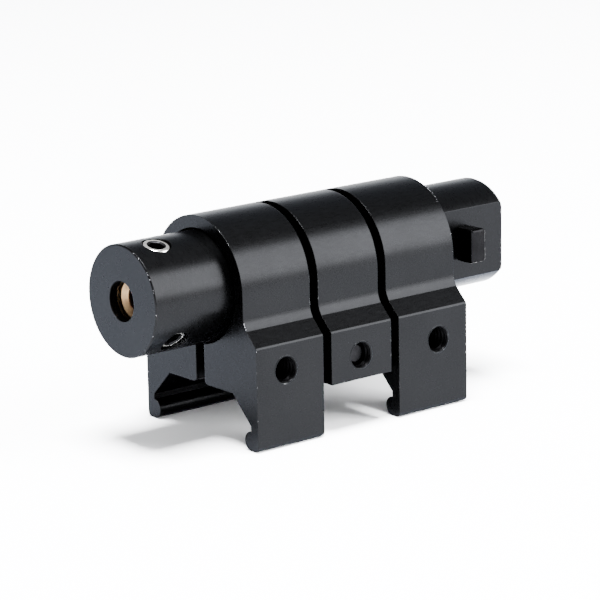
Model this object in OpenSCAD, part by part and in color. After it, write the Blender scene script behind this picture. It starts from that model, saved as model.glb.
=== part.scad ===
// Rail-mounted laser sight: a laser tube held in the ring of a one-piece clamp for a 20 mm rail.
// X runs along the laser beam with the nose towards -X and the tail switch towards +X.
// The switch side is -Y, the clamp screws enter from +Y, and the feet stand on Z = 0.

/* [Clamp mount] */
// length along the rail
mount_len = 37.3; // [36.8:0.1:38]
// full width across the side faces
mount_w = 24.6; // [24.5:0.05:24.8]
// height of the laser axis above the feet
axis_z = 20.7; // [20.6:0.05:20.9]
// outer radius of the ring
ring_r = 9.65; // [9.5:0.05:9.8]
// bore of the ring
bore_r = 7.68; // [7.68:0.01:7.7]
// height of the side faces up to the shoulder edge
shoulder_z = 14.2; // [14.15:0.05:14.3]
// radius of the hollow between ring and shoulder
fillet_r = 3.1; // [3.05:0.05:3.15]
// width of the slit under the bore
slit_w = 1.9; // [1.6:0.1:2.1]
// width of the two saw cuts
saw_w = 1.45; // [1.2:0.05:1.6]
// distance from the front face to the middle of the front saw cut
saw_front = 12.1; // [11.9:0.1:12.3]
// distance from the front face to the middle of the rear saw cut
saw_rear = 24.1; // [23.9:0.1:24.3]
// how far the saw cuts reach past the middle
saw_reach = 2.4; // [2:0.1:2.8]
// underside of the middle finger
middle_z = 6.9; // [6.8:0.05:7]

/* [Rail channel] */
// height of the channel roof above the feet
roof_z = 7.2; // [7.1:0.05:7.25]
// half width at the widest point of the groove
groove_y = 10.8; // [10.7:0.05:10.85]
// height of the widest point of the groove
groove_z = 3.45; // [3.4:0.05:3.5]
// radius of the bead along the inside of each jaw
bead_r = 1.35; // [1.3:0.01:1.38]
// radius of the outer bottom edges
foot_r = 0.8; // [0.7:0.05:0.9]

/* [Clamp screws] */
// distances of the three screws from the front face
screw_x = [4.95, 18, 32];
// heights of the three screws above the feet
screw_z = [10.6, 10.2, 9.9];
// screw lengths under the head
screw_len = [18, 20, 18];
// radius of the shank
shank_r = 1.95; // [1.9:0.01:2]
// core radius of the threaded end
core_r = 1.7; // [1.65:0.01:1.72]
// radius of the head
head_r = 3.2; // [3:0.05:3.25]
// height of the low head
head_h = 2.8; // [2.4:0.1:3]
// depth of the head recess
recess_d = 3.4; // [3.2:0.1:3.4]
// hexagon socket across flats
clamp_hex = 2.5; // [2:0.5:3]

/* [Laser tube] */
// outer radius of tube and tail cap
tube_r = 7.63; // [7.6:0.01:7.65]
// nose length in front of the mount
nose_out = 12.6; // [12.4:0.1:12.8]
// tail length behind the mount
tail_out = 12.9; // [12.8:0.1:13.1]
// radius of the beam opening
aperture_r = 2.75; // [2.6:0.05:2.9]
// thickness of the nose wall
nose_wall = 1.2; // [1:0.1:1.3]
// radius of the front chamber
chamber_r = 5.5; // [5.48:0.01:5.52]
// distance of the adjusting screws behind the nose face
adjust_back = 4.5; // [4.4:0.1:4.8]
// angles of the adjusting screws around the beam, from -Y upwards
adjust_angles = [75, -45, 195];
// outer end of each adjusting screw, measured from the beam axis
adjust_outer = [7.45, 7.1, 7.25];
// length of the adjusting screws
adjust_len = 2.8; // [2.6:0.1:2.8]

/* [Tail cap and switch] */
// distance of the switch flat from the beam axis
flat_y = 5.74; // [5.6:0.02:5.8]
// length of the cap that sits inside the ring
cap_inside = 1.4; // [1:0.1:1.8]
// length of the threaded spigot
spigot_len = 4.6; // [4.4:0.1:4.8]
// pitch of the cap thread
cap_pitch = 0.75; // [0.75:0.25:1]
// travel of the switch knob
switch_travel = 2.2; // [1.8:0.1:2.4]
// knob size along the tube
knob_x = 2.7; // [2.4:0.1:2.8]
// knob height
knob_z = 4.8; // [4.4:0.1:5]
// distance of the knob's face from the beam axis
knob_y = 9.05; // [8.8:0.05:9.3]

/* [Hidden] */
$fn = 64;

half_w = mount_w / 2;
front_x = -(nose_out + mount_len + tail_out) / 2 + nose_out;
rear_x = front_x + mount_len;
nose_x = front_x - nose_out;
tail_x = rear_x + tail_out;
// overlap that makes an arc cross a straight edge instead of only touching it
bite = 0.02;
fillet_z = shoulder_z + (half_w - ring_r - fillet_r * (1 - cos(45))) + fillet_r * sin(45);
bead_y = groove_y + 0.02;
adjust_x = nose_x + adjust_back;
adjust_r = 1.95;

// laser module, all radii from the beam axis
barrel_r = 4.0;
barrel_front = nose_x + nose_wall + 0.5;
barrel_rear = nose_x + 20.2;
pivot_x = barrel_rear - 2.5;
pivot_w = 1.84;
lens_x = barrel_front + 1.3;
diode_x = barrel_rear - 4.3;
board_x = barrel_rear - 1.3;

// battery bay
bay_front = nose_x + 26.5;
cell_r = 5.8;
cell_h = 5.4;
cell_x = bay_front + 0.8;
bay_rear = cell_x + 3 * cell_h;
split_x = rear_x - cap_inside;
spigot_x = split_x - spigot_len;
spigot_r = 6.65;
cap_bore = 4.6;
cap_floor = tail_x - 2;

// switch
knob_x0 = tail_x - 8.8;
knob_mid = knob_x0 + knob_x / 2;
knob_dz = 0.2;
neck_x = 1.8;
neck_z = 2.2;
housing_x = [8.6, 3.6, 4.8];
housing_mid = knob_mid + switch_travel / 2;
housing_front_y = 3.85;
terminal_gap = 2.5;
terminal_x = 0.4;
terminal_z = 0.8;

black = [0.1, 0.1, 0.11];
steel = [0.78, 0.78, 0.8];
brass = [0.78, 0.62, 0.32];

// turns a shape drawn along Z so that it lies along X on the beam axis
module along_beam(x = 0) {
    translate([x, 0, axis_z])
        rotate([0, 90, 0])
            children();
}

// turns a shape drawn along Z so that it points outwards from the beam axis
module around_beam(x, angle) {
    translate([x, 0, axis_z])
        rotate([90 - angle, 0, 0])
            children();
}

// ring drawn from an inner and outer radius
module tube_piece(r_out, r_in, h) {
    difference() {
        cylinder(r = r_out, h = h);
        translate([0, 0, -1])
            cylinder(r = r_in, h = h + 2);
    }
}

// hexagonal recess of a given size across flats
module hex_recess(flats, depth) {
    cylinder(r = flats / 2 / cos(30), h = depth, $fn = 6);
}

// ---------------------------------------------------------------- clamp mount

// one side of the section above the channel, drawn with Y to the right
module shoulder_side() {
    slope = half_w - ring_r + 2;
    polygon([[0, 0], [half_w, 0], [half_w, shoulder_z - 0.13], [half_w - 0.1, shoulder_z + 0.12],
             [half_w - slope, shoulder_z + slope + bite], [0, shoulder_z + slope + bite]]);
    difference() {
        translate([ring_r - 0.45, fillet_z - 2.4])
            square([1.5, 2.3]);
        translate([ring_r + fillet_r - bite, fillet_z])
            circle(r = fillet_r);
    }
}

module foot_corner() {
    difference() {
        translate([half_w - foot_r, -1])
            square([2, 1 + foot_r]);
        translate([half_w - foot_r, foot_r])
            circle(r = foot_r + 0.01);
    }
}

module channel_half() {
    roof_y = groove_y + groove_z - roof_z;
    polygon([[-0.01, -1], [groove_y, -1], [groove_y, groove_z], [roof_y, roof_z],
             [slit_w / 2 + 0.5, roof_z], [slit_w / 2, roof_z + 0.35], [-0.01, roof_z + 0.35]]);
}

module bead() {
    intersection() {
        translate([bead_y, bead_r - 0.02])
            circle(r = bead_r);
        translate([bead_y - 2, 0])
            square([4, 4]);
    }
}

module mount_section() {
    difference() {
        union() {
            translate([0, axis_z])
                circle(r = ring_r);
            translate([-ring_r, 8])
                square([2 * ring_r, axis_z - 8]);
            for (side = [0, 1])
                mirror([side, 0])
                    shoulder_side();
        }
        for (side = [0, 1])
            mirror([side, 0]) {
                channel_half();
                foot_corner();
            }
    }
    for (side = [0, 1])
        mirror([side, 0])
            bead();
}

module saw_cut(at) {
    translate([front_x + at - saw_w / 2, -half_w - 1, -1])
        cube([saw_w, half_w + 1 + saw_reach, axis_z + ring_r + 2]);
}

module screw_bores(i) {
    translate([front_x + screw_x[i], 0, screw_z[i]])
        rotate([90, 0, 0]) {
            translate([0, 0, -half_w - 1])
                cylinder(r = head_r + 0.15, h = recess_d + 1);
            translate([0, 0, -half_w + recess_d - 0.5])
                cylinder(r = shank_r + 0.1, h = half_w - recess_d + 0.5);
            cylinder(r = core_r + 0.05, h = half_w + 1);
            translate([0, 0, half_w - 0.1])
                cylinder(r1 = core_r + 0.05, r2 = core_r + 0.2, h = 0.15);
        }
}

module clamp_mount() {
    color(black)
        difference() {
            translate([front_x, 0, 0])
                rotate([90, 0, 90])
                    linear_extrude(height = mount_len)
                        mount_section();
            along_beam(front_x - 1)
                cylinder(r = bore_r, h = mount_len + 2);
            along_beam(front_x - 0.05)
                cylinder(r1 = bore_r + 0.3, r2 = bore_r, h = 0.3);
            along_beam(rear_x - 0.25)
                cylinder(r1 = bore_r, r2 = bore_r + 0.3, h = 0.3);
            translate([front_x - 1, -slit_w / 2, roof_z - 1])
                cube([mount_len + 2, slit_w, axis_z - roof_z]);
            saw_cut(saw_front);
            saw_cut(saw_rear);
            translate([front_x + saw_front, -half_w - 1, -1])
                cube([saw_rear - saw_front, half_w - 2, middle_z + 1]);
            for (i = [0:2])
                screw_bores(i);
        }
}

// --------------------------------------------------------------- clamp screws

module clamp_screw(i) {
    seat = half_w - recess_d + 0.05;
    thread_from = slit_w / 2 + 0.3;
    color(steel)
        translate([front_x + screw_x[i], seat, screw_z[i]])
            rotate([90, 0, 0])
                difference() {
                    rotate_extrude()
                        polygon([[0, -head_h], [head_r - 0.35, -head_h], [head_r, -head_h + 0.35],
                                 [head_r, 0], [shank_r, 0], [shank_r, seat - thread_from],
                                 [core_r, seat - thread_from + 0.25], [core_r, screw_len[i] - 0.4],
                                 [core_r - 0.4, screw_len[i]], [0, screw_len[i]]]);
                    translate([0, 0, -head_h - 0.1])
                        hex_recess(clamp_hex, 1.7);
                }
}

module front_rail_screw() {
    clamp_screw(0);
}

module middle_ring_screw() {
    clamp_screw(1);
}

module rear_rail_screw() {
    clamp_screw(2);
}

// ----------------------------------------------------------------- laser tube

module laser_tube() {
    length = split_x - nose_x;
    color(black)
        difference() {
            along_beam(nose_x)
                rotate_extrude()
                    polygon([[aperture_r, 0], [tube_r - 0.15, 0], [tube_r, 0.15], [tube_r, length],
                             [spigot_r + 0.05, length], [spigot_r + 0.05, spigot_x - nose_x - 0.2],
                             [cell_r + 0.45, spigot_x - nose_x - 0.2], [cell_r + 0.45, bay_front - nose_x],
                             [chamber_r, bay_front - nose_x], [chamber_r, nose_wall],
                             [aperture_r, nose_wall]]);
            for (angle = adjust_angles)
                around_beam(adjust_x, angle)
                    translate([0, 0, 4])
                        cylinder(r = adjust_r + 0.05, h = 5);
        }
}

// headless screw with a hexagon socket, pointing outwards along Z
module adjusting_screw(i) {
    base = adjust_outer[i] - adjust_len;
    color(steel)
        around_beam(adjust_x, adjust_angles[i])
            difference() {
                rotate_extrude()
                    polygon([[0, base], [adjust_r - 0.5, base], [adjust_r, base + 0.5],
                             [adjust_r, adjust_outer[i] - 0.3], [adjust_r - 0.3, adjust_outer[i]],
                             [0, adjust_outer[i]]]);
                translate([0, 0, adjust_outer[i] - 1.5])
                    hex_recess(2, 2);
            }
}

module top_adjusting_screw() {
    adjusting_screw(0);
}

module right_adjusting_screw() {
    adjusting_screw(1);
}

module left_adjusting_screw() {
    adjusting_screw(2);
}

// --------------------------------------------------------------- laser module

module module_barrel() {
    length = barrel_rear - barrel_front;
    groove = pivot_x - barrel_front;
    color(brass)
        along_beam(barrel_front)
            rotate_extrude()
                polygon([[3.3, 0], [barrel_r - 0.2, 0], [barrel_r, 0.2],
                         [barrel_r, groove - 1.15], [3.58, groove - 1.15],
                         [3.58, groove + 1.15], [barrel_r, groove + 1.15],
                         [barrel_r, length], [3.5, length], [3.5, length - 1.4],
                         [2.85, length - 1.4], [2.85, length - 5.6], [2.3, length - 5.6],
                         [2.3, 3.9], [3.3, 3.9]]);
}

module lens_retainer() {
    color(brass)
        along_beam(barrel_front + 0.05)
            difference() {
                tube_piece(3.28, 2.35, 1.2);
                translate([-4, -0.4, -1])
                    cube([8, 0.8, 1.5]);
            }
}

module collimating_lens() {
    cap_r = 6;
    color([0.75, 0.8, 0.85, 0.4])
        along_beam(lens_x)
            intersection() {
                cylinder(r = 3.25, h = 2.5);
                translate([0, 0, cap_r])
                    sphere(r = cap_r);
            }
}

module laser_diode() {
    color([0.8, 0.68, 0.4])
        along_beam(diode_x)
            union() {
                translate([0, 0, -2.4])
                    tube_piece(1.8, 0.8, 2.5);
                translate([0, 0, -0.3])
                    cylinder(r = 1.5, h = 0.4);
                cylinder(r = 2.8, h = 1.2);
                for (turn = [0, 120, 240])
                    rotate([0, 0, turn])
                        translate([1.27, 0, 1.1])
                            cylinder(r = 0.22, h = 1.75, $fn = 24);
            }
}

module driver_board() {
    color([0.1, 0.4, 0.2])
        along_beam(board_x)
            cylinder(r = 3.45, h = 1);
}

module driver_chips() {
    color([0.06, 0.06, 0.07])
        along_beam(board_x + 1) {
            translate([-1.5, 2.0, 0])
                cube([3, 1.1, 0.9]);
            translate([-1, -2.9, 0])
                cube([2, 0.9, 0.6]);
            translate([-2.9, -1, 0])
                cube([0.8, 1.6, 0.5]);
        }
}

// round wire wound into a coil, drawn along Z
module coil(mean_r, wire_r, pitch, turns) {
    steps = [-75:30:75];
    reach = 360 * wire_r / pitch;
    linear_extrude(height = pitch * turns, twist = -360 * turns, slices = round(16 * turns), $fn = 16)
        polygon(concat(
            [for (s = steps) (mean_r + wire_r * cos(s)) * [cos(reach * sin(s)), sin(reach * sin(s))]],
            [for (s = steps) (mean_r - wire_r * cos(s)) * [cos(-reach * sin(s)), sin(-reach * sin(s))]]));
}

module driver_spring() {
    length = cell_x - board_x - 1 - 0.5;
    color(steel)
        along_beam(board_x + 1.02) {
            tube_piece(1.75, 1.05, 0.4);
            coil(1.4, 0.22, 1.3, (length - 0.4) / 1.3);
            translate([0, 0, length - 0.4])
                tube_piece(1.75, 1.05, 0.4);
        }
}

// rubber ring whose outer face is part of a ball, so that it can turn in the chamber
module pivot_ring() {
    color([0.05, 0.05, 0.05])
        along_beam(pivot_x)
            rotate_extrude()
                intersection() {
                    circle(r = chamber_r - 0.05, $fn = 96);
                    translate([3.62, -pivot_w / 2])
                        square([2, pivot_w]);
                }
}

// ------------------------------------------------------------------ batteries

module battery_sleeve() {
    color([0.85, 0.86, 0.84])
        along_beam(bay_front + 0.1)
            rotate_extrude()
                polygon([[4.4, 0], [cell_r + 0.4, 0], [cell_r + 0.4, bay_rear - bay_front],
                         [cell_r + 0.05, bay_rear - bay_front], [cell_r + 0.05, 0.5], [4.4, 0.5]]);
}

// button cell with its smaller negative cap towards the nose
module button_cell(i) {
    color(steel)
        along_beam(cell_x + i * cell_h + 0.02)
            rotate_extrude()
                polygon([[0, 0], [4.3, 0], [4.6, 0.3], [4.6, 0.5], [5.3, 0.5], [cell_r, 0.9],
                         [cell_r, cell_h - 0.45], [cell_r - 0.35, cell_h - 0.1],
                         [4.9, cell_h - 0.04], [0, cell_h - 0.04]]);
}

module front_cell() {
    button_cell(0);
}

module middle_cell() {
    button_cell(1);
}

module rear_cell() {
    button_cell(2);
}

// ------------------------------------------------------------------- tail cap

module tail_cap() {
    length = tail_x - spigot_x;
    groove = split_x - spigot_x;
    color(black)
        difference() {
            along_beam(spigot_x)
                rotate_extrude()
                    polygon([[cap_bore, 0], [spigot_r - 0.3, 0], [spigot_r, 0.3],
                             [spigot_r, groove - 1.4], [5.6, groove - 1.4], [5.6, groove - 0.15],
                             [spigot_r, groove - 0.15], [spigot_r, groove + 0.05],
                             [tube_r, groove + 0.05], [tube_r, length - 0.5], [tube_r - 0.14, length - 0.14],
                             [tube_r - 0.5, length], [0, length], [0, cap_floor - spigot_x],
                             [cap_bore, cap_floor - spigot_x]]);
            translate([rear_x + 0.6, -tube_r - 1, axis_z - tube_r - 1])
                cube([tail_out + 1, tube_r + 1 - flat_y, 2 * tube_r + 2]);
            translate([knob_mid - neck_x / 2 - 0.15, -tube_r, axis_z + knob_dz - neck_z / 2 - 0.15])
                cube([neck_x + switch_travel + 0.3, tube_r - 2, neck_z + 0.3]);
        }
}

module cap_o_ring() {
    color([0.05, 0.05, 0.05])
        along_beam(split_x - 0.78)
            rotate_extrude()
                translate([6.16, 0])
                    circle(r = 0.5, $fn = 32);
}

// ---------------------------------------------------------------- tail switch

module switch_housing() {
    wall = 0.5;
    color([0.12, 0.12, 0.13])
        translate([housing_mid, -housing_front_y, axis_z])
            difference() {
                translate([-housing_x[0] / 2, 0, -housing_x[2] / 2])
                    cube(housing_x);
                translate([-housing_x[0] / 2 + wall, wall, -housing_x[2] / 2 + wall])
                    cube(housing_x - [2 * wall, 2 * wall, 2 * wall]);
                translate([-neck_x / 2 - switch_travel / 2 - 0.15, -1, knob_dz - neck_z / 2 - 0.15])
                    cube([neck_x + switch_travel + 0.3, 2, neck_z + 0.3]);
                for (i = [-1:1])
                    translate([i * terminal_gap - terminal_x / 2, housing_x[1] - 2 * wall, -terminal_z / 2])
                        cube([terminal_x, 2, terminal_z]);
            }
}

module switch_knob() {
    gap = 0.15;
    depth = knob_y - flat_y - gap;
    chamfer = 0.35;
    color([0.03, 0.03, 0.03])
        translate([knob_mid, 0, axis_z + knob_dz]) {
            difference() {
                translate([0, 0, -knob_z / 2])
                    linear_extrude(height = knob_z)
                        polygon([[-knob_x / 2, -knob_y + depth], [-knob_x / 2, -knob_y + 0.15],
                                 [-knob_x / 2 + 0.15, -knob_y], [knob_x / 2 - chamfer, -knob_y],
                                 [knob_x / 2, -knob_y + chamfer], [knob_x / 2, -knob_y + depth]]);
                for (end = [-1, 1])
                    translate([0, -knob_y, end * knob_z / 2])
                        rotate([45, 0, 0])
                            cube([2 * knob_x, 0.6, 0.6], center = true);
                translate([knob_x / 2 - 0.4, -knob_y - 1, -0.35])
                    cube([1, 1.7, 0.7]);
            }
            translate([-neck_x / 2, -knob_y + depth - 0.1, -neck_z / 2])
                cube([neck_x, knob_y - depth - 3 + 0.1, neck_z]);
            translate([-1.8, -3.25, -1.5])
                cube([3.6, 0.9, 3]);
        }
}

module switch_terminals() {
    color([0.75, 0.7, 0.55])
        for (i = [-1:1])
            translate([housing_mid + i * terminal_gap - terminal_x / 2, -housing_front_y + housing_x[1] - 0.3,
                       axis_z - terminal_z / 2])
                cube([terminal_x, 2.6, terminal_z]);
}

module contact_plate() {
    color(brass)
        along_beam(bay_rear + 0.05)
            union() {
                cylinder(r1 = 1.4, r2 = 1.8, h = 0.5);
                translate([0, 0, 0.45])
                    cylinder(r = 3.6, h = 0.5);
                translate([0, 0, 0.9])
                    cylinder(r = 0.6, h = 3.2, $fn = 32);
            }
}

module contact_bush() {
    color([0.88, 0.86, 0.8])
        along_beam(bay_rear + 1.02)
            tube_piece(cap_bore - 0.03, 0.62, 2.4);
}

clamp_mount();
front_rail_screw();
middle_ring_screw();
rear_rail_screw();
laser_tube();
top_adjusting_screw();
right_adjusting_screw();
left_adjusting_screw();
module_barrel();
lens_retainer();
collimating_lens();
laser_diode();
driver_board();
driver_chips();
driver_spring();
pivot_ring();
battery_sleeve();
front_cell();
middle_cell();
rear_cell();
tail_cap();
cap_o_ring();
switch_housing();
switch_knob();
switch_terminals();
contact_plate();
contact_bush();
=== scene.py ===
"""Rail-mounted laser sight: looks, extra detail pieces, studio and camera."""
import math
import random

import bmesh
import bpy
from mathutils import Matrix, Vector

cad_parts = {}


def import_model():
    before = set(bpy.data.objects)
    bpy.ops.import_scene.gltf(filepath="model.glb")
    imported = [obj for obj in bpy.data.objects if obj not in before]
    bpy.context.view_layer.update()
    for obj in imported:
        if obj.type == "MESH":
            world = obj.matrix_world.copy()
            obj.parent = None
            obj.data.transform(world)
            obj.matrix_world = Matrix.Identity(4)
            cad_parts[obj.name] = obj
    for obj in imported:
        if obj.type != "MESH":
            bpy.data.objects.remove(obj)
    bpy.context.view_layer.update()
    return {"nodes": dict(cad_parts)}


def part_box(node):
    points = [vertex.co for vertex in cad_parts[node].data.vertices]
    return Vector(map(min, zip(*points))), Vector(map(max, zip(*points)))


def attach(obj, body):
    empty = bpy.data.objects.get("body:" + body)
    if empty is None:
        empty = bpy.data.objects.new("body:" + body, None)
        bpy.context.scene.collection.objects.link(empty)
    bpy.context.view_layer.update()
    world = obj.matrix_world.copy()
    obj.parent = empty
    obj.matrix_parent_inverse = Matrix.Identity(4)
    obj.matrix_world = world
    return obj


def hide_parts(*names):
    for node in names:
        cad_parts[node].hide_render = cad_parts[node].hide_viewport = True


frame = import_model()
nodes = frame["nodes"]
MM = 0.001


# ------------------------------------------------------------------ materials

def new_material(name):
    mat = bpy.data.materials.new(name)
    mat.use_nodes = True
    tree = mat.node_tree
    bsdf = next(n for n in tree.nodes if n.type == "BSDF_PRINCIPLED")
    return mat, tree, bsdf


def add(tree, kind, inputs=None, **settings):
    node = tree.nodes.new(kind)
    for key, value in settings.items():
        setattr(node, key, value)
    for key, value in (inputs or {}).items():
        if isinstance(value, bpy.types.NodeSocket):
            tree.links.new(value, node.inputs[key])
        else:
            node.inputs[key].default_value = value
    return node


def ramp(tree, fac, stops):
    node = add(tree, "ShaderNodeValToRGB", {"Fac": fac})
    while len(node.color_ramp.elements) < len(stops):
        node.color_ramp.elements.new(0.5)
    for element, (at, colour) in zip(node.color_ramp.elements, stops):
        element.position = at
        element.color = colour if len(colour) == 4 else (*colour, 1)
    return node.outputs["Color"]


def math_node(tree, op, a, b=0.0, clamp=False):
    node = add(tree, "ShaderNodeMath", operation=op, use_clamp=clamp)
    for i, v in enumerate((a, b)):
        if isinstance(v, bpy.types.NodeSocket):
            tree.links.new(v, node.inputs[i])
        else:
            node.inputs[i].default_value = v
    return node.outputs[0]


def mix_colour(tree, fac, a, b):
    node = add(tree, "ShaderNodeMix", data_type="RGBA")
    for key, v in (("Factor", fac), ("A", a), ("B", b)):
        sockets = [s for s in node.inputs if s.name == key and s.enabled]
        if isinstance(v, bpy.types.NodeSocket):
            tree.links.new(v, sockets[0])
        else:
            sockets[0].default_value = v if key == "Factor" else (*v, 1)
    return next(s for s in node.outputs if s.enabled)


def grain(tree, scale, stretch=(1, 1, 1), detail=4.0, roughness=0.6):
    coords = add(tree, "ShaderNodeTexCoord").outputs["Object"]
    mapping = add(tree, "ShaderNodeMapping", {"Vector": coords, "Scale": stretch})
    noise = add(tree, "ShaderNodeTexNoise", {"Vector": mapping.outputs[0], "Scale": scale,
                                             "Detail": detail, "Roughness": roughness})
    return noise.outputs["Fac"]


def edge_mask(tree, radius, low, high):
    """1 on convex and concave edges, 0 on open faces: the rounded normal leaves the true one there."""
    rounded = add(tree, "ShaderNodeBevel", {"Radius": radius}, samples=6)
    flat = add(tree, "ShaderNodeNewGeometry")
    dot = add(tree, "ShaderNodeVectorMath", {0: rounded.outputs[0], 1: flat.outputs["Normal"]},
              operation="DOT_PRODUCT")
    spread = math_node(tree, "SUBTRACT", 1.0, dot.outputs["Value"])
    mapped = add(tree, "ShaderNodeMapRange", {"Value": spread, "From Min": low, "From Max": high})
    return mapped.outputs[0]


def anodised(name, along, tint=(0.0043, 0.0044, 0.0047), rough=0.29, wear=0.5):
    """Black anodised aluminium: fine grain, soft mottling, and bare metal in patches along edges, partly wear
    and partly a painted highlight for the light lines that edges catch. along stretches the grain; the low
    reflectance at grazing angles keeps upright faces dark in a white room."""
    mat, tree, bsdf = new_material(name)
    fine = grain(tree, 2600, along, 3.0, 0.7)
    specks = grain(tree, 5200, (1, 1, 1), 2.0, 0.6)
    cloud = grain(tree, 130, (1, 1, 1), 3.0, 0.5)
    chips = grain(tree, 900, (1, 1, 1), 4.0, 0.7)
    rare = grain(tree, 95, (1, 1, 1), 2.0, 0.5)
    # Bare metal in patches on convex and concave edges: partly wear, partly painted highlight lines along the
    # edges.
    edge = edge_mask(tree, 0.16 * MM, 0.01, 0.12)
    worn = math_node(tree, "MULTIPLY", edge, ramp(tree, chips, [(0.54, (0, 0, 0)), (0.68, (1, 1, 1))]))
    worn = math_node(tree, "MULTIPLY", worn,
                     ramp(tree, rare, [(0.55, (0.02, 0.02, 0.02)), (0.75, (1, 1, 1))]))
    worn = math_node(tree, "MULTIPLY", worn, wear, clamp=True)
    base = mix_colour(tree, cloud, tuple(0.85 * c for c in tint), tuple(1.15 * c for c in tint))
    base = mix_colour(tree, worn, base, (0.16, 0.165, 0.17))
    tree.links.new(base, bsdf.inputs["Base Color"])
    bsdf.inputs["Metallic"].default_value = 1.0
    rough_map = add(tree, "ShaderNodeMapRange", {"Value": fine, "From Min": 0.3, "From Max": 0.7,
                                                 "To Min": rough - 0.03, "To Max": rough + 0.03})
    tree.links.new(rough_map.outputs[0], bsdf.inputs["Roughness"])
    bsdf.inputs["Specular Tint"].default_value = (0.56, 0.57, 0.59, 1)
    height = math_node(tree, "ADD", math_node(tree, "MULTIPLY", fine, 0.6),
                       math_node(tree, "MULTIPLY", specks, 0.4))
    rounded = add(tree, "ShaderNodeBevel", {"Radius": 0.10 * MM}, samples=6)
    bump = add(tree, "ShaderNodeBump", {"Strength": 0.04, "Distance": 0.02 * MM, "Height": height,
                                        "Normal": rounded.outputs[0]})
    tree.links.new(bump.outputs[0], bsdf.inputs["Normal"])
    return mat


def metal(name, colour, rough, stretch=(1, 1, 1), scale=2500, strength=0.12, stain=None, edge=0.06, rim=1.0):
    """Bare or blackened metal with turning marks and a little tarnish; rim is its grazing reflectance."""
    mat, tree, bsdf = new_material(name)
    marks = grain(tree, scale, stretch, 3.0, 0.6)
    cloud = grain(tree, 420, (1, 1, 1), 3.0, 0.6)
    dark = stain or tuple(0.6 * c for c in colour)
    base = mix_colour(tree, ramp(tree, cloud, [(0.35, (0, 0, 0)), (0.75, (1, 1, 1))]), colour, dark)
    tree.links.new(base, bsdf.inputs["Base Color"])
    bsdf.inputs["Metallic"].default_value = 1.0
    bsdf.inputs["Specular Tint"].default_value = (rim, rim, rim, 1)
    rough_map = add(tree, "ShaderNodeMapRange", {"Value": marks, "From Min": 0.3, "From Max": 0.7,
                                                 "To Min": rough * 0.8, "To Max": rough * 1.25})
    tree.links.new(rough_map.outputs[0], bsdf.inputs["Roughness"])
    rounded = add(tree, "ShaderNodeBevel", {"Radius": edge * MM}, samples=6)
    bump = add(tree, "ShaderNodeBump", {"Strength": strength, "Distance": 0.01 * MM, "Height": marks,
                                        "Normal": rounded.outputs[0]})
    tree.links.new(bump.outputs[0], bsdf.inputs["Normal"])
    return mat


def plastic(name, colour, rough, spec=0.5, strength=0.1, scale=1800, edge=0.12):
    """Moulded plastic or rubber with a faint skin texture."""
    mat, tree, bsdf = new_material(name)
    skin = grain(tree, scale, (1, 1, 1), 4.0, 0.6)
    cloud = grain(tree, 240, (1, 1, 1), 2.0, 0.5)
    base = mix_colour(tree, cloud, tuple(0.8 * c for c in colour), tuple(1.2 * c for c in colour))
    tree.links.new(base, bsdf.inputs["Base Color"])
    rough_map = add(tree, "ShaderNodeMapRange", {"Value": skin, "From Min": 0.3, "From Max": 0.7,
                                                 "To Min": rough * 0.85, "To Max": rough * 1.2})
    tree.links.new(rough_map.outputs[0], bsdf.inputs["Roughness"])
    bsdf.inputs["Specular IOR Level"].default_value = spec
    rounded = add(tree, "ShaderNodeBevel", {"Radius": edge * MM}, samples=6)
    bump = add(tree, "ShaderNodeBump", {"Strength": strength, "Distance": 0.02 * MM, "Height": skin,
                                        "Normal": rounded.outputs[0]})
    tree.links.new(bump.outputs[0], bsdf.inputs["Normal"])
    return mat


MATERIALS = {
    "clamp": anodised("anodised_extrusion", (0.3, 1, 1), wear=0.9),
    "tube": anodised("anodised_turned", (1, 0.4, 0.4), wear=0.5),
    # Dark steel for the clamp screws; also painted shade on the walls and floor of the adjusting screws'
    # sockets.
    "dark_steel_and_painted_shade": metal("dark_steel_and_painted_shade", (0.0055, 0.0055, 0.006), 0.38, rim=0.55),
    "knob": metal("knob_plastic", (0.0032, 0.0032, 0.0035), 0.24, scale=1500, strength=0.08, edge=0.1,
                  rim=0.5),
    # A darker copy of the brass, with a darker stain, for the module barrel and lens retainer deep in the
    # nose: painted shade.
    "brass_painted_shade": metal("brass_painted_shade", (0.16, 0.11, 0.06), 0.34, stretch=(1, 0.2, 0.2),
                        stain=(0.06, 0.03, 0.015)),
    "steel": metal("bright_steel", (0.46, 0.46, 0.45), 0.2, stain=(0.22, 0.215, 0.20)),
    "brass": metal("turned_brass", (0.62, 0.44, 0.22), 0.26, stretch=(1, 0.2, 0.2), stain=(0.36, 0.21, 0.09)),
    "gold": metal("gold_plate", (0.72, 0.52, 0.24), 0.2),
    "nickel": metal("nickel_plate", (0.68, 0.67, 0.65), 0.2),
    "tin": metal("tinned_brass", (0.62, 0.60, 0.52), 0.35),
    "rubber": plastic("black_rubber", (0.012, 0.012, 0.012), 0.55, spec=0.3),
    "board": plastic("solder_mask", (0.02, 0.16, 0.07), 0.3),
    "chip": plastic("chip_body", (0.012, 0.012, 0.013), 0.5),
    "natural": plastic("natural_plastic", (0.62, 0.60, 0.54), 0.45),
    "housing": plastic("housing_plastic", (0.02, 0.02, 0.022), 0.45, spec=0.3),
}


def lens_material():
    mat, tree, bsdf = new_material("coated_lens")
    cloud = grain(tree, 500, (1, 1, 1), 2.0, 0.5)
    base = mix_colour(tree, cloud, (0.07, 0.012, 0.006), (0.14, 0.03, 0.012))
    tree.links.new(base, bsdf.inputs["Base Color"])
    bsdf.inputs["Roughness"].default_value = 0.04
    bsdf.inputs["IOR"].default_value = 1.52
    bsdf.inputs["Transmission Weight"].default_value = 0.4
    bsdf.inputs["Coat Weight"].default_value = 0.3
    bsdf.inputs["Coat Roughness"].default_value = 0.02
    return mat


MATERIALS["lens"] = lens_material()
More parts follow.
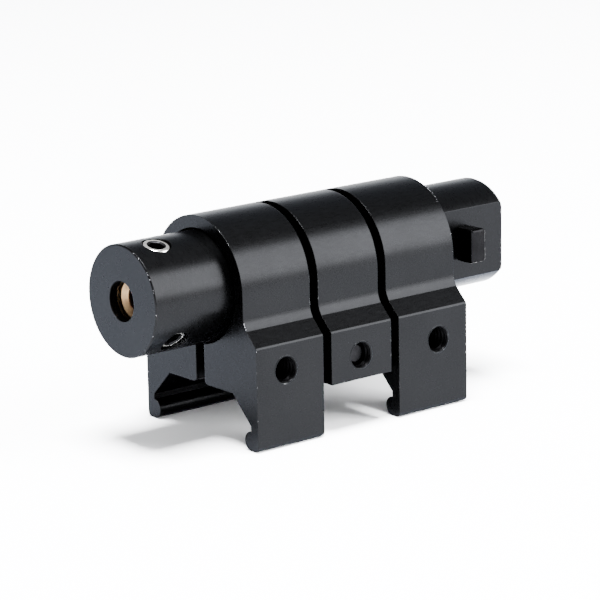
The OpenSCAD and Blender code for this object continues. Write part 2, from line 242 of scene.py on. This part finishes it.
# A darker copy of the anodising for the thread walls inside the tapped holes: painted shade in the holes.
MATERIALS["bore"] = anodised("anodised_bore_painted_shade", (1, 1, 1), tint=(0.0012, 0.0012, 0.0013), rough=0.4, wear=0.2)
# Bare aluminium for knocked edges; along the ring's rear edge it also paints the edge's highlight line.
MATERIALS["bare"] = metal("bare_aluminium", (0.30, 0.30, 0.32), 0.4)

LOOK = {
    "clamp_mount": "clamp", "front_rail_screw": "dark_steel_and_painted_shade", "middle_ring_screw": "dark_steel_and_painted_shade",
    "rear_rail_screw": "dark_steel_and_painted_shade", "laser_tube": "tube", "top_adjusting_screw": "steel",
    # The brass parts seen inside the nose take the darkened brass, painted shade.
    "right_adjusting_screw": "steel", "left_adjusting_screw": "steel", "module_barrel": "brass_painted_shade",
    "lens_retainer": "brass_painted_shade", "collimating_lens": "lens", "laser_diode": "gold",
    "driver_board": "board", "driver_chips": "chip", "driver_spring": "steel",
    "pivot_ring": "rubber", "battery_sleeve": "natural", "front_cell": "nickel",
    "middle_cell": "nickel", "rear_cell": "nickel", "tail_cap": "tube", "cap_o_ring": "rubber",
    "switch_housing": "housing", "switch_knob": "knob", "switch_terminals": "tin",
    "contact_plate": "brass", "contact_bush": "natural",
}
for name, look in LOOK.items():
    nodes[name].data.materials.clear()
    nodes[name].data.materials.append(MATERIALS[look])


# ---------------------------------------------------------------- detail pieces

BASE = {name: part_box(name) for name in LOOK}
THREAD_PITCH = 0.7
HEAD_HEIGHT = 2.8


def middle(name):
    low, high = BASE[name]
    return (Vector(low) + Vector(high)) / 2


def place(origin, outward, side):
    """Turns local X, Y, Z into the given side, its partner and the outward direction, at an origin in
    metres."""
    z = Vector(outward).normalized()
    x = (Vector(side) - z * z.dot(Vector(side))).normalized()
    y = z.cross(x)
    return Matrix.Translation(Vector(origin)) @ Matrix((x, y, z)).transposed().to_4x4()


def build(name, bm, turn, look, body, replaces=(), sharp=38, inside=None):
    """Makes a piece from a mesh drawn in millimetres, and lets it ride on a body. inside is a second look,
    with the radius that its faces lie within and the height that they lie above; the adjusting screws use
    it to paint their sockets dark, as painted shade."""
    bmesh.ops.remove_doubles(bm, verts=bm.verts, dist=1e-6)
    bmesh.ops.recalc_face_normals(bm, faces=bm.faces)
    if inside:
        for face in bm.faces:
            at = face.calc_center_median()
            face.material_index = int(math.hypot(at.x, at.y) < inside[1] and at.z > inside[2])
    bmesh.ops.transform(bm, matrix=turn @ Matrix.Scale(MM, 4), verts=bm.verts)
    mesh = bpy.data.meshes.new(name)
    bm.to_mesh(mesh)
    bm.free()
    for face in mesh.polygons:
        face.use_smooth = True
    mesh.set_sharp_from_angle(angle=math.radians(sharp))
    mesh.materials.append(MATERIALS[look])
    if inside:
        mesh.materials.append(MATERIALS[inside[0]])
    obj = bpy.data.objects.new(name, mesh)
    bpy.context.scene.collection.objects.link(obj)
    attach(obj, body)
    if replaces:
        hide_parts(*replaces)
    return obj


def loft(bm, rings, closed=False):
    """Skins rings of points; a ring of one point closes the end."""
    made = [[bm.verts.new(p) for p in ring] for ring in rings]
    pairs = list(zip(made, made[1:])) + ([(made[-1], made[0])] if closed else [])
    for low, high in pairs:
        n = max(len(low), len(high))
        for i in range(n):
            j = (i + 1) % n
            corners = [low[i % len(low)], low[j % len(low)], high[j % len(high)], high[i % len(high)]]
            unique = list(dict.fromkeys(corners))
            if len(unique) > 2:
                bm.faces.new(unique)


def ring(z, radius, n=72):
    """A ring of points at height z; radius is a number or a function of the angle."""
    points = []
    for i in range(n):
        a = 2 * math.pi * i / n
        r = radius(a) if callable(radius) else radius
        points.append((r * math.cos(a), r * math.sin(a), z))
    return points


def hexagon(flats):
    return lambda a: flats / 2 / math.cos((a + math.pi / 6) % (math.pi / 3) - math.pi / 6)


def thread(root, crest, pitch, z):
    """Radius of a 60 degree thread at height z, as a function of the angle."""
    def radius(a):
        phase = (z / pitch - a / (2 * math.pi)) % 1.0
        return root + (crest - root) * min(1.0, 1.18 * (1 - abs(2 * phase - 1)))
    return radius


def threaded(z0, z1, root, crest, pitch, steps=8):
    count = max(2, int(round((z1 - z0) / pitch * steps)))
    return [ring(z0 + (z1 - z0) * i / count, thread(root, crest, pitch, z0 + (z1 - z0) * i / count))
            for i in range(count + 1)]


def socket(z, flats, depth, rim):
    """Rings of a hexagon socket that starts at the rim radius on a face at height z."""
    return [ring(z, rim), ring(z - 0.16, hexagon(flats)), ring(z - depth, hexagon(flats)),
            ring(z - depth - 0.02, hexagon(flats * 0.93)), [(0, 0, z - depth - 0.4)]]


def adjusting_screw(node, angle, outer):
    """A headless screw with a hexagon socket, at an angle around the tube; outer is its face's distance
    from the tube's axis."""
    length, r = 2.8, 1.95
    base = outer - length
    bm = bmesh.new()
    loft(bm, [[(0, 0, base)], ring(base, 1.3), ring(base + 0.08, 1.42), ring(base + 0.55, r - 0.24)]
         + threaded(base + 0.6, outer - 0.42, r - 0.26, r, THREAD_PITCH)
         + [ring(outer - 0.4, r - 0.12), ring(outer - 0.32, r - 0.06), ring(outer - 0.14, r - 0.13),
            ring(outer - 0.04, r - 0.24), ring(outer, r - 0.36), ring(outer - 0.01, r - 0.5)]
         + socket(outer, 2.0, 1.5, 1.3))
    a = math.radians(angle)
    # The socket's walls and floor take the dark steel: painted shade in the socket, not a second metal.
    build(node + "_detail", bm, place((middle(node).x, 0, AXIS), (0, -math.cos(a), math.sin(a)), (1, 0, 0)),
          "steel", node, (node,), inside=("dark_steel_and_painted_shade", 1.22, base + 0.4))


def clamp_screw(node, length):
    """A cap screw with a knurled head; its threaded end starts 1.25 mm past the middle of the mount."""
    seat = BASE[node][1][1] - HEAD_HEIGHT * MM
    head_r, shank = 3.2, 1.95
    start = seat / MM - 1.25

    def knurl(a):
        return head_r - 0.09 * (0.5 + 0.5 * math.cos(30 * a)) ** 2

    bm = bmesh.new()
    loft(bm, [[(0, 0, -length)], ring(-length, 1.15), ring(-length + 0.12, 1.3)]
         + threaded(-length + 0.3, -start - 0.1, 1.46, 1.7, THREAD_PITCH)
         + [ring(-start, 1.7), ring(-start + 0.2, shank), ring(-0.12, shank), ring(0, shank + 0.1)])
    n = 240
    loft(bm, [ring(0, shank + 0.1, n), ring(0, head_r - 0.15, n), ring(0.12, knurl, n), ring(2.42, knurl, n),
              ring(2.55, head_r - 0.12, n), ring(HEAD_HEIGHT, head_r - 0.42, n), ring(HEAD_HEIGHT, 1.62, n),
              ring(2.62, hexagon(2.5), n), ring(1.1, hexagon(2.5), n), ring(1.08, hexagon(2.3), n),
              [(0, 0, 0.75)]])
    centre = middle(node)
    build(node + "_detail", bm, place((centre.x, seat, centre.z), (0, 1, 0), (1, 0, 0)), "dark_steel_and_painted_shade", node,
          (node,))


def tapped_wall(name, centre, tip_y, mouth_y):
    """The thread left open between a screw's tip and the mouth of its hole, and the burr around the mouth."""
    depth = (mouth_y - tip_y) / MM - 0.1
    start = 0.30
    count = max(6, int((depth - start) / THREAD_PITCH * 10))
    inner = []
    for i in range(count + 1):
        z = -start - (depth - start) * i / count
        fade = min(1.0, i / 4)
        inner.append(ring(z, lambda a, z=z, fade=fade: 1.735 - fade * 0.235 * min(
            1.0, 1.25 * (1 - abs(2 * ((z / THREAD_PITCH + a / (2 * math.pi)) % 1.0) - 1)))))
    outer = [ring(-depth, 1.79), ring(-start, 1.79)]
    bm = bmesh.new()
    loft(bm, inner + outer, closed=True)
    turn = place((centre.x, -mouth_y, centre.z), (0, -1, 0), (1, 0, 0))
    # The thread wall takes the darker bore anodising, painted shade inside the hole.
    build(name + "_thread", bm, turn, "bore", "mount", sharp=60)
    wave = lambda a, k: 0.5 + 0.5 * math.sin(k * a + 1.3 * math.sin(2 * a + k) + centre.x / MM)
    section = [(1.82, -0.02), (1.85, 0.03), (1.90, 0.045), (1.97, 0.025), (2.06, -0.02), (1.88, -0.05)]
    bm = bmesh.new()
    rings = []
    for i in range(96):
        a = 2 * math.pi * i / 96
        lift = 0.45 + 0.4 * wave(a, 3) + 0.35 * wave(a, 7)
        drift = 0.04 * (wave(a, 5) - 0.5)
        rings.append([((r + drift) * math.cos(a), (r + drift) * math.sin(a), h * lift) for r, h in section])
    loft(bm, rings, closed=True)
    build(name + "_burr", bm, turn, "clamp", "mount", sharp=80)


def rounded_outline(half_x, half_z, corner_left, corner_right, inset, notch, n=120):
    """Points around a rounded rectangle, with a small bite out of its right-hand edge."""
    def outside(x, z):
        r = corner_right if x > 0 else corner_left
        r = max(r - inset, 0.03)
        dx, dz = abs(x) - (half_x - inset) + r, abs(z) - (half_z - inset) + r
        box = math.hypot(max(dx, 0), max(dz, 0)) + min(max(dx, dz), 0) - r
        return max(box, notch - math.hypot(x - half_x, z * 0.8)) if notch > 0 else box
    points = []
    for i in range(n):
        a = 2 * math.pi * i / n
        low, high = 0.0, 4.0
        for _ in range(28):
            at = (low + high) / 2
            if outside(at * math.cos(a), at * math.sin(a)) > 0:
                high = at
            else:
                low = at
        points.append((low * math.cos(a), low * math.sin(a)))
    return points


def knob():
    """The switch knob: a worn rectangular block with a neck and a foot inside the cap."""
    low, high = BASE["switch_knob"]
    height, half_x = 4.8, 1.35
    half_z = height / 2
    centre = Vector(((low[0] + high[0]) / 2, low[1], (low[2] + high[2]) / 2))
    rough = lambda i, k: 0.035 * math.sin(1.7 * i + 2.1 * k) * math.sin(0.61 * i * k + k)
    # depth below the face, inset of the outline, and size of the bite out of the edge
    levels = [(0.0, 0.34, 0.32), (0.03, 0.22, 0.34), (0.10, 0.11, 0.36), (0.22, 0.04, 0.36),
              (0.40, 0.0, 0.32), (0.62, 0.0, 0.17), (0.8, 0.0, 0.0), (1.3, 0.0, 0.0), (2.2, 0.0, 0.0),
              (2.9, 0.0, 0.0), (3.08, 0.03, 0.0), (3.16, 0.12, 0.0)]
    bm = bmesh.new()
    rings = []
    for k, (depth, inset, notch) in enumerate(levels):
        outline = rounded_outline(half_x, half_z, 0.14, 0.62, inset, notch)
        rings.append([(x, z + (rough(i, k + 1) - 0.03 if abs(z) > half_z - 0.3 and 0 < k < 11 else 0), -depth)
                      for i, (x, z) in enumerate(outline)])
    loft(bm, [[(0, 0, 0)]] + rings + [[(0, 0, -3.16)]])

    def block(size, z0, z1):
        outline = rounded_outline(size[0] / 2, size[1] / 2, 0.15, 0.15, 0.0, 0.0, 48)
        loft(bm, [[(0, 0, z0)], [(x, z, z0) for x, z in outline], [(x, z, z1) for x, z in outline],
                  [(0, 0, z1)]])

    block((1.8, 2.2), -3.1, -6.05)
    block((3.6, 3.0), -5.85, -6.65)
    turn = place(centre, (0, -1, 0), (1, 0, 0))
    build("switch_knob_detail", bm, turn, "knob", "switch_knob", ("switch_knob",), sharp=30)


def retainer():
    """Threaded brass ring in front of the lens, dished towards its opening, with two spanner slots."""
    front = BASE["lens_retainer"][0][0]

    def level(z, r, cut=0.0):
        return [(x, y, z - (cut if abs(y) / r * 3.0 < 0.42 else 0)) for x, y, z in ring(z, r, 144)]

    rings = [level(-1.2, 1.95), level(-0.62, 1.62), level(-0.5, 1.62), level(-0.42, 1.7),
             level(-0.12, 2.35, 0.25), level(0.0, 2.5, 0.45), level(0.0, 3.0, 0.45), level(-0.14, 3.27, 0.3)]
    for k in range(9):
        rings.append(level(-0.2 - 0.11 * k, 3.27 if k % 2 else 3.16))
    rings.append(level(-1.2, 3.2))
    bm = bmesh.new()
    loft(bm, rings, closed=True)
    turn = place((front, 0, AXIS), (-1, 0, 0), (0, 0, 1))
    # The retainer takes the darkened brass, painted shade inside the nose.
    build("lens_retainer_detail", bm, turn, "brass_painted_shade", "laser_module", ("lens_retainer",),
          sharp=30)


def chips(name, body, slot, spots, seed):
    """Small bare patches along an edge: knocked chips, and along the ring's rear edge also a painted
    highlight line. Each spot is a place, a direction along the edge and the outward direction there, with its
    length and width."""
    noise = random.Random(seed)
    bm = bmesh.new()
    for at, along, out, length, width in spots:
        along, out = Vector(along).normalized(), Vector(out).normalized()
        across = out.cross(along).normalized()
        centre = Vector(at) + out * 0.012
        rim = []
        for i in range(9):
            a = 2 * math.pi * i / 9
            grow = 0.6 + 0.6 * noise.random()
            rim.append(bm.verts.new(centre + along * (length / 2 * grow * math.cos(a))
                                    + across * (width / 2 * grow * math.sin(a)) - out * 0.02))
        top = bm.verts.new(centre)
        under = bm.verts.new(centre - out * 0.06)
        for i in range(9):
            bm.faces.new((rim[i], rim[(i + 1) % 9], top))
            bm.faces.new((rim[(i + 1) % 9], rim[i], under))
    build(name, bm, Matrix.Identity(4), "bare", body, sharp=180)


def edge_chips():
    """Chips along the ring's rear edge, the clamp's front corner and the nose's rim; along the ring's rear
    edge they are also a painted highlight for the edge's light line.
    """
    noise = random.Random(11)
    low, high = BASE["clamp_mount"]
    rear, front = high[0] / MM, low[0] / MM
    spots = []
    # The ring's rear edge: chips, and a painted highlight line, larger from 44 to 70 degrees.
    for degrees in [2, 5, 9, 14, 18, 24, 33, 38, 44, 47, 49, 52, 55, 58, 60, 62, 65, 67, 70, 73]:
        a = math.radians(degrees + noise.uniform(-1, 1))
        out = (0.7, -0.7 * math.cos(a), 0.7 * math.sin(a))
        at = (rear - 0.02, -9.63 * math.cos(a), 20.7 + 9.63 * math.sin(a))
        big = 1.0 if 44 < degrees < 70 else 0.55
        spots.append((at, (0, math.sin(a), math.cos(a)), out, noise.uniform(0.18, 0.42) * big,
                      noise.uniform(0.08, 0.16) * big))
    for y, z, size in ((-9.83, 17.2, 0.3), (-9.98, 16.9, 0.42), (-10.2, 16.55, 0.3), (-12.28, 13.9, 0.14),
                       (-12.28, 9.0, 0.10), (-12.28, 4.4, 0.12)):
        spots.append(((front + 0.01, y, z), (0, 0.4, 1), (-0.8, -0.6, 0.1), size, 0.09))
    chips("clamp_edge_wear_and_painted_highlight", "mount", "black_anodised_clamp", spots, 5)
    nose = BASE["laser_tube"][0][0] / MM
    spots = []
    for degrees in (41, 37, 33, 22, 18, -4, -27, -49, -63, -66, 66, 58):
        a = math.radians(degrees + noise.uniform(-1, 1))
        spots.append(((nose + 0.05, -7.56 * math.cos(a), 20.7 + 7.56 * math.sin(a)),
                      (0, math.sin(a), math.cos(a)), (-0.7, -0.7 * math.cos(a), 0.7 * math.sin(a)),
                      noise.uniform(0.1, 0.28), 0.06))
    chips("nose_edge_wear", "tube", "black_anodised_tube", spots, 9)


AXIS = middle("laser_tube").z
SIDE = -BASE["clamp_mount"][0][1]
adjusting_screw("top_adjusting_screw", 75, 7.45)
adjusting_screw("right_adjusting_screw", -45, 7.1)
adjusting_screw("left_adjusting_screw", 195, 7.25)
for node, length in (("front_rail_screw", 18), ("middle_ring_screw", 20), ("rear_rail_screw", 18)):
    clamp_screw(node, length)
    tapped_wall(node.replace("screw", "hole"), middle(node), -BASE[node][0][1], SIDE)
knob()
retainer()
edge_chips()


# --------------------------------------------------------------------- studio

def floor():
    """A plain pale floor, a hair below the mount's feet."""
    mesh = bpy.data.meshes.new("floor")
    bm = bmesh.new()
    bmesh.ops.create_grid(bm, x_segments=8, y_segments=8, size=3.0)
    bm.to_mesh(mesh)
    bm.free()
    obj = bpy.data.objects.new("floor", mesh)
    obj.location = (0, 0, -0.00005)
    bpy.context.scene.collection.objects.link(obj)
    mat, tree, bsdf = new_material("pale_floor")
    bsdf.inputs["Base Color"].default_value = (0.855, 0.865, 0.885, 1)
    bsdf.inputs["Roughness"].default_value = 0.8
    bsdf.inputs["Specular IOR Level"].default_value = 0.0
    mesh.materials.append(mat)


def world(side, top):
    """A bright band around the horizon and a dim sky above it."""
    wld = bpy.data.worlds.new("studio")
    bpy.context.scene.world = wld
    wld.use_nodes = True
    tree = wld.node_tree
    tree.nodes.clear()
    coords = add(tree, "ShaderNodeTexCoord").outputs["Generated"]
    up = add(tree, "ShaderNodeSeparateXYZ", {0: coords}).outputs["Z"]
    level = ramp(tree, up, [(0.0, (side, side, side)), (0.25, (side, side, side)),
                            (0.42, (top, top, top)), (1.0, (top, top, top))])
    background = add(tree, "ShaderNodeBackground", {"Color": level, "Strength": WORLD_GLOW})
    out = add(tree, "ShaderNodeOutputWorld")
    tree.links.new(background.outputs[0], out.inputs[0])


def softbox(name, direction, distance, size, radiance, along=(0, 0, 1), target=(0, 0, 0.02)):
    """A rectangular light that faces the target; its length runs along the given direction."""
    light = bpy.data.lights.new(name, "AREA")
    light.shape = "RECTANGLE"
    light.size, light.size_y = size
    light.energy = radiance * math.pi * size[0] * size[1]
    obj = bpy.data.objects.new(name, light)
    d = Vector(direction).normalized()
    obj.location = Vector(target) + d * distance
    side = (Vector(along) - d * d.dot(Vector(along))).normalized()
    obj.rotation_mode = "QUATERNION"
    obj.rotation_quaternion = Matrix((side, d.cross(side), d)).transposed().to_quaternion()
    bpy.context.scene.collection.objects.link(obj)
    return obj


WORLD_GLOW = 4.0
floor()
world(1.0, 0.32)
softbox("main", (-0.08, -0.12, 0.98), 1.0, (0.42, 0.42), 285, along=(1, 0, 0))
softbox("strip_right", (0.65, -0.655, 0.41), 1.0, (0.72, 0.6), 42, along=(0, 0.56, 0.72))

# --------------------------------------------------------------------- camera

def camera():
    data = bpy.data.cameras.new("camera")
    obj = bpy.data.objects.new("camera", data)
    bpy.context.scene.collection.objects.link(obj)
    azimuth, elevation, roll = math.radians(-38.64), math.radians(13.42), math.radians(-1.16)
    back = Vector((math.sin(azimuth) * math.cos(elevation), -math.cos(azimuth) * math.cos(elevation),
                   math.sin(elevation)))
    right = Vector((0, 0, 1)).cross(back).normalized()
    up = back.cross(right)
    right, up = (right * math.cos(roll) + up * math.sin(roll), up * math.cos(roll) - right * math.sin(roll))
    turn = Matrix((right, up, back)).transposed().to_4x4()
    obj.matrix_world = Matrix.Translation(Vector((-3.8, 0, 20)) * MM + back * 384.4 * MM) @ turn
    data.sensor_width = 36
    data.lens = 168.05
    data.shift_x = 0.0243
    data.shift_y = -0.0452
    data.clip_start, data.clip_end = 0.01, 20
    bpy.context.scene.camera = obj


camera()
